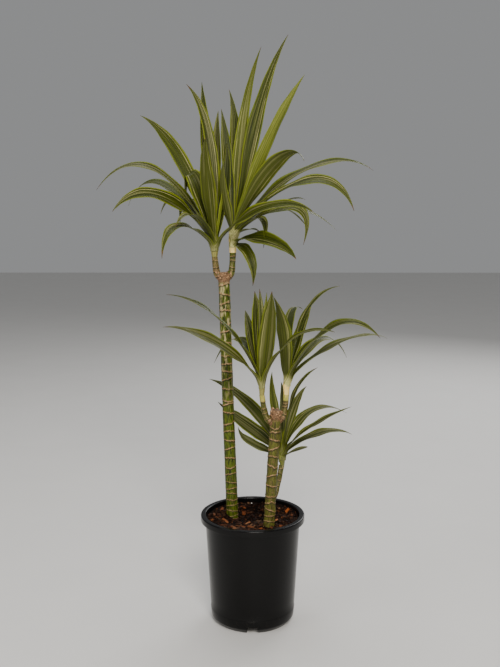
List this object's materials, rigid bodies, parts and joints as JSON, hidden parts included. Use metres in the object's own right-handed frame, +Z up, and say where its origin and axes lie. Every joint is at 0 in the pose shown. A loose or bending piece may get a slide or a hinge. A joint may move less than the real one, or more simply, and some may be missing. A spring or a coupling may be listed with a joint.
{
  "type": "potted dragon tree",
  "caption": "Potted dragon tree: a tall and a short woody cane with forked side stems, heads of long striped leaves, and a round black plastic pot of soil.",
  "frame": {"origin": "middle of the plant's outline seen from above, at the height of the surface that the pot stands on", "axes": "+Z up along the plant, its longest extent; -Y towards the front, as pictured; +X to the right seen from the front"},
  "size_m": [0.6056, 0.4212, 1.2274],
  "materials": {
    "pot_plastic": "satin",
    "potting_mix": "matte",
    "cane_bark": "matte",
    "leaf": "satin"
  },
  "bodies": {
    "root": {"pot": "pot_plastic", "potting_mix": "potting_mix", "cane_tall": "cane_bark", "cane_short": "cane_bark", "head_tall_left": "leaf", "head_tall_right": "leaf", "head_short_left": "leaf", "head_short_right": "leaf", "head_low": "leaf"}
  },
  "joints": []
}
